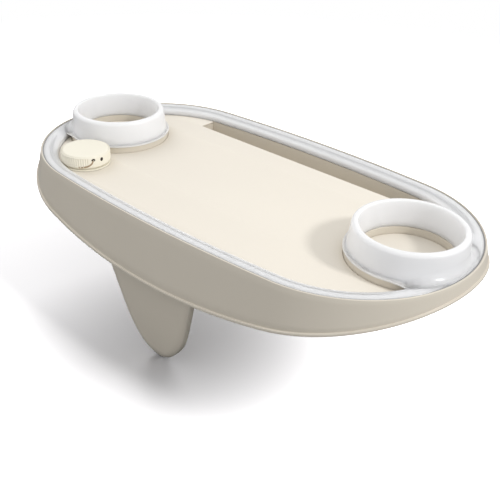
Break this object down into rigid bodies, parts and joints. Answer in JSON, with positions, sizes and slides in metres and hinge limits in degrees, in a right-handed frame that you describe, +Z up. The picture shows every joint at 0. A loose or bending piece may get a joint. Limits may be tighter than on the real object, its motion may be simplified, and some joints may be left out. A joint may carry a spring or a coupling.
{
  "type": "hot tub tray",
  "caption": "Oval tray that sits astride an inflatable hot tub wall, with a raised cup collar at each end, a device slot along the back, a push light and a front tongue.",
  "frame": {"origin": "centre of the underside of the floor, where the crown of the tub wall carries the tray", "axes": "+Z up, +X along the tray to the end without the light, +Y away from the bather"},
  "size_m": [0.4262, 0.2388, 0.1489],
  "materials": {
    "taupe_plastic": "satin moulded polypropylene",
    "cream_plastic": "matte",
    "milky_plastic": "satin, faintly translucent",
    "ivory_plastic": "matte",
    "clear_silicone": "soft",
    "black_plastic": "matte",
    "board_green": "solder mask",
    "led_body": "gloss",
    "steel": "plated"
  },
  "bodies": {
    "tray": {"base_shell": "taupe_plastic", "slot_trough": "taupe_plastic", "cup_step_left": "taupe_plastic", "cup_step_right": "taupe_plastic", "deck_panel": "cream_plastic", "light_frame": "milky_plastic", "cup_collar_left": "milky_plastic", "cup_collar_right": "milky_plastic", "cup_mat_left": "cream_plastic", "cup_mat_right": "cream_plastic", "front_tongue": "taupe_plastic", "rim_screw_front_left": "steel", "rim_screw_front_right": "steel", "rim_screw_back_left": "steel", "rim_screw_back_right": "steel", "tongue_screw_left": "steel", "tongue_screw_right": "steel", "collar_screw_left_front": "steel", "collar_screw_left_back": "steel", "collar_screw_right_front": "steel", "collar_screw_right_back": "steel"},
    "light": {"light_housing": "ivory_plastic", "grip_ring": "ivory_plastic", "cap_seal": "clear_silicone", "light_board": "board_green", "led_1": "led_body", "led_2": "led_body", "led_3": "led_body", "push_switch": "black_plastic", "coin_cell_upper": "steel", "coin_cell_lower": "steel", "battery_holder": "black_plastic", "contact_upper": "steel", "contact_lower": "steel", "cover_gasket": "clear_silicone", "battery_cover": "ivory_plastic", "cover_screw_left": "steel", "cover_screw_right": "steel"},
    "cap": {"press_cap": "ivory_plastic", "switch_plunger": "led_body"}
  },
  "joints": [
    {"name": "light_twist", "type": "hinge", "parent": "tray", "child": "light", "pos_m": [-0.1303, -0.0624, 0], "axis": [0, 0, 1], "range_deg": [0, 40]},
    {"name": "cap_press", "type": "slide", "parent": "light", "child": "cap", "axis": [0, 0, -1], "range_m": [0, 0.001], "stiffness_N_per_m": 1500, "springref_m": -0.0005}
  ]
}
